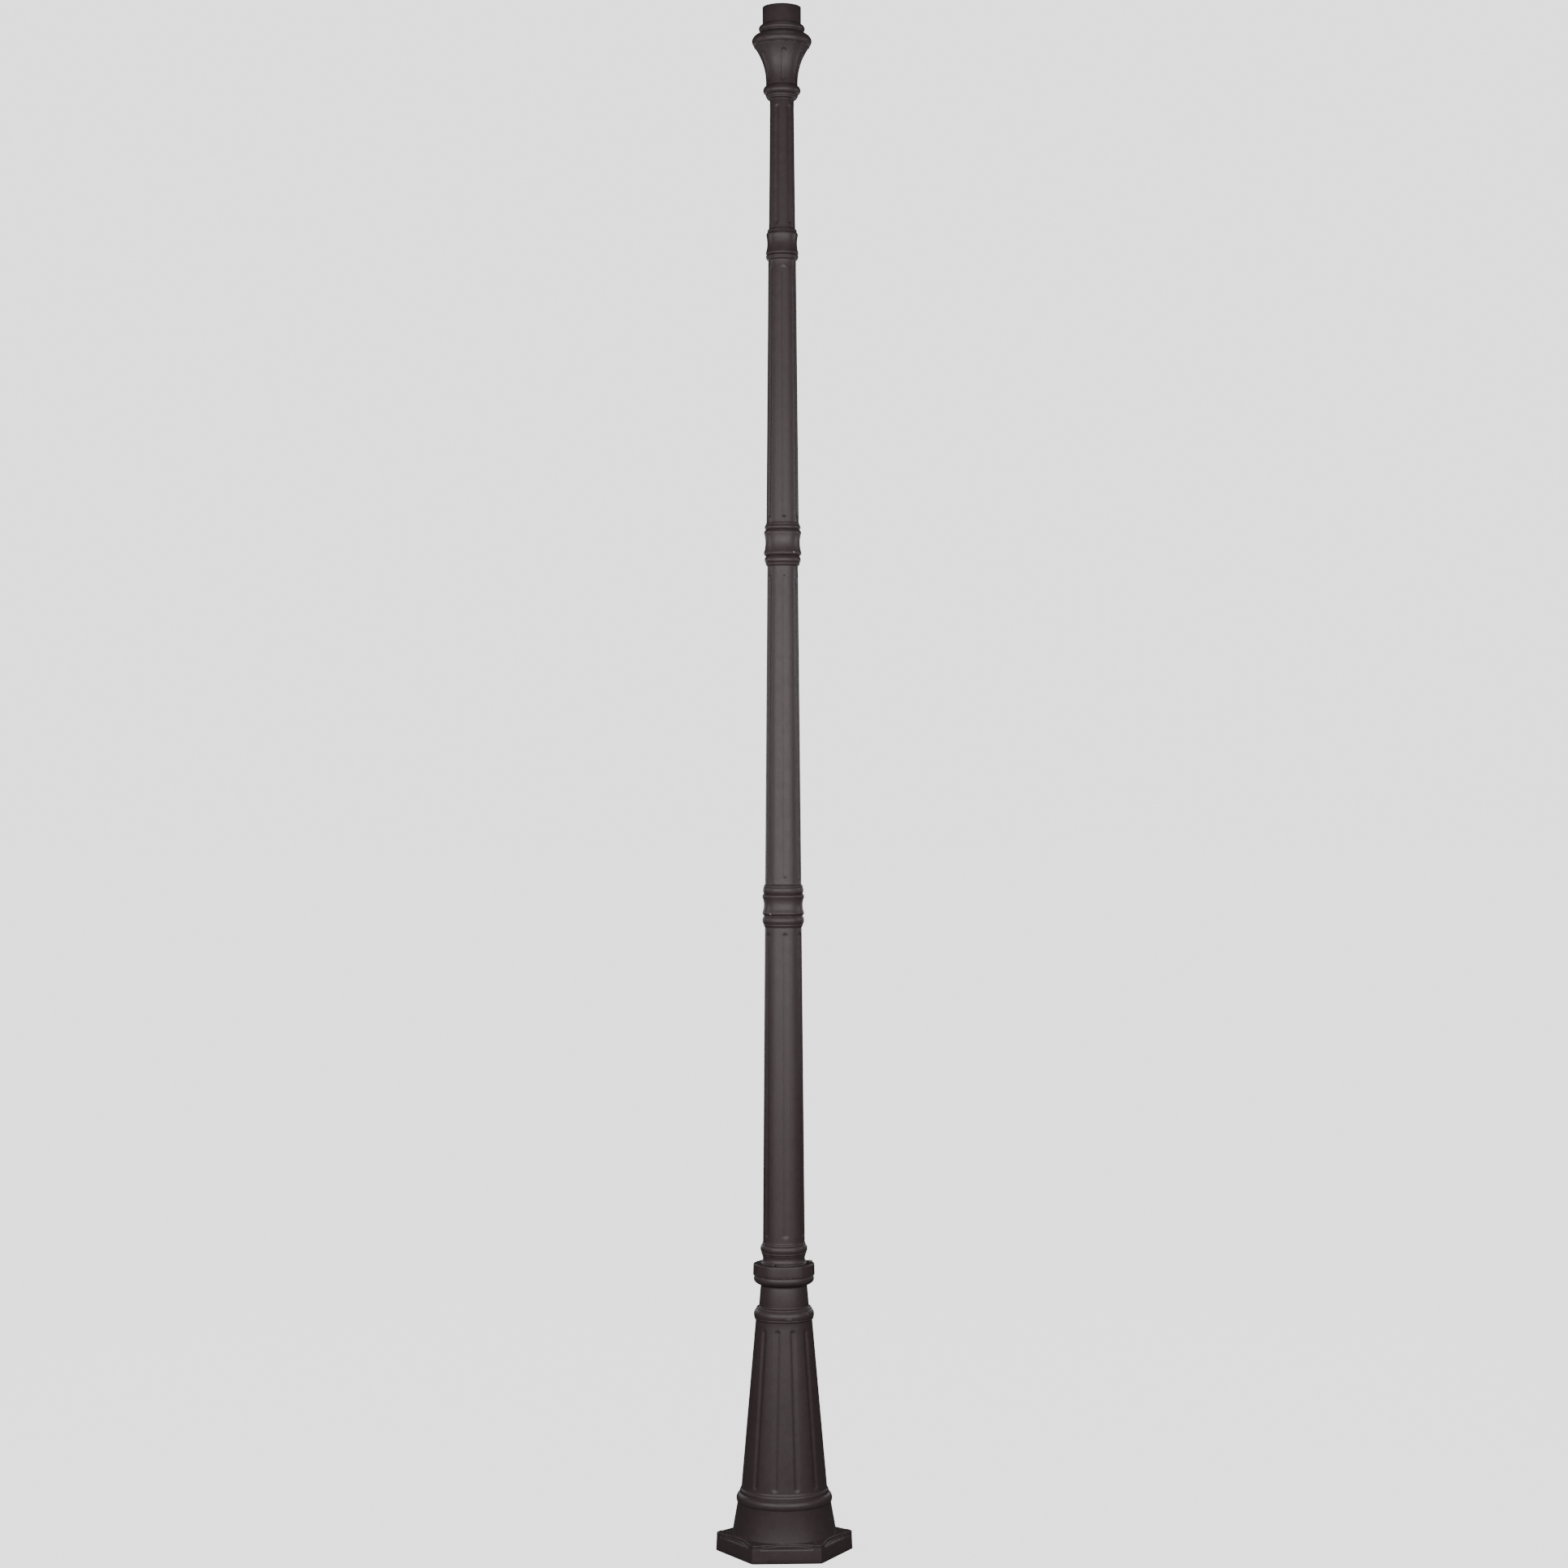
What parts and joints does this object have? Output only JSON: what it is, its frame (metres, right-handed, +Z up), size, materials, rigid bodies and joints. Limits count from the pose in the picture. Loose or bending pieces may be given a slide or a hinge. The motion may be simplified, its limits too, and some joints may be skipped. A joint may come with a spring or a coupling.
{
  "type": "street clock post",
  "caption": "Tall cast post for a street clock: hexagonal foot, fluted cone, clamp collar, tapering fluted shaft with waisted couplings, bell capital and round tenon.",
  "frame": {"origin": "centre of the foot's underside, on the ground and on the post's axis", "axes": "+Z up along the post; -Y is the front, square to one flat side of the hexagonal foot; +X runs through a corner of the foot"},
  "size_m": [0.272, 0.2356, 3.048],
  "materials": {
    "casting": "satin dark bronze powder coat on cast aluminium",
    "screws": "satin dark bronze, on steel",
    "nipples": "satin zinc-plated steel"
  },
  "bodies": {
    "pedestal": {"pedestal": "casting", "clamp_collar": "casting", "collar_screw_1": "screws", "collar_screw_2": "screws", "collar_screw_3": "screws"},
    "shaft": {"shaft_flange": "casting", "shaft_section_1": "casting", "shaft_section_2": "casting", "shaft_section_3": "casting", "shaft_section_4": "casting", "coupling_1": "casting", "coupling_2": "casting", "coupling_3": "casting", "capital": "casting", "fitter_tenon": "casting", "foot_nipple": "nipples", "coupling_nipple_1": "nipples", "coupling_nipple_2": "nipples", "coupling_nipple_3": "nipples", "top_nipple": "nipples"}
  },
  "joints": [
    {"name": "shaft_turn", "type": "hinge", "parent": "pedestal", "child": "shaft", "pos_m": [0, 0, 0.54], "axis": [0, 0, 1], "continuous": true}
  ]
}
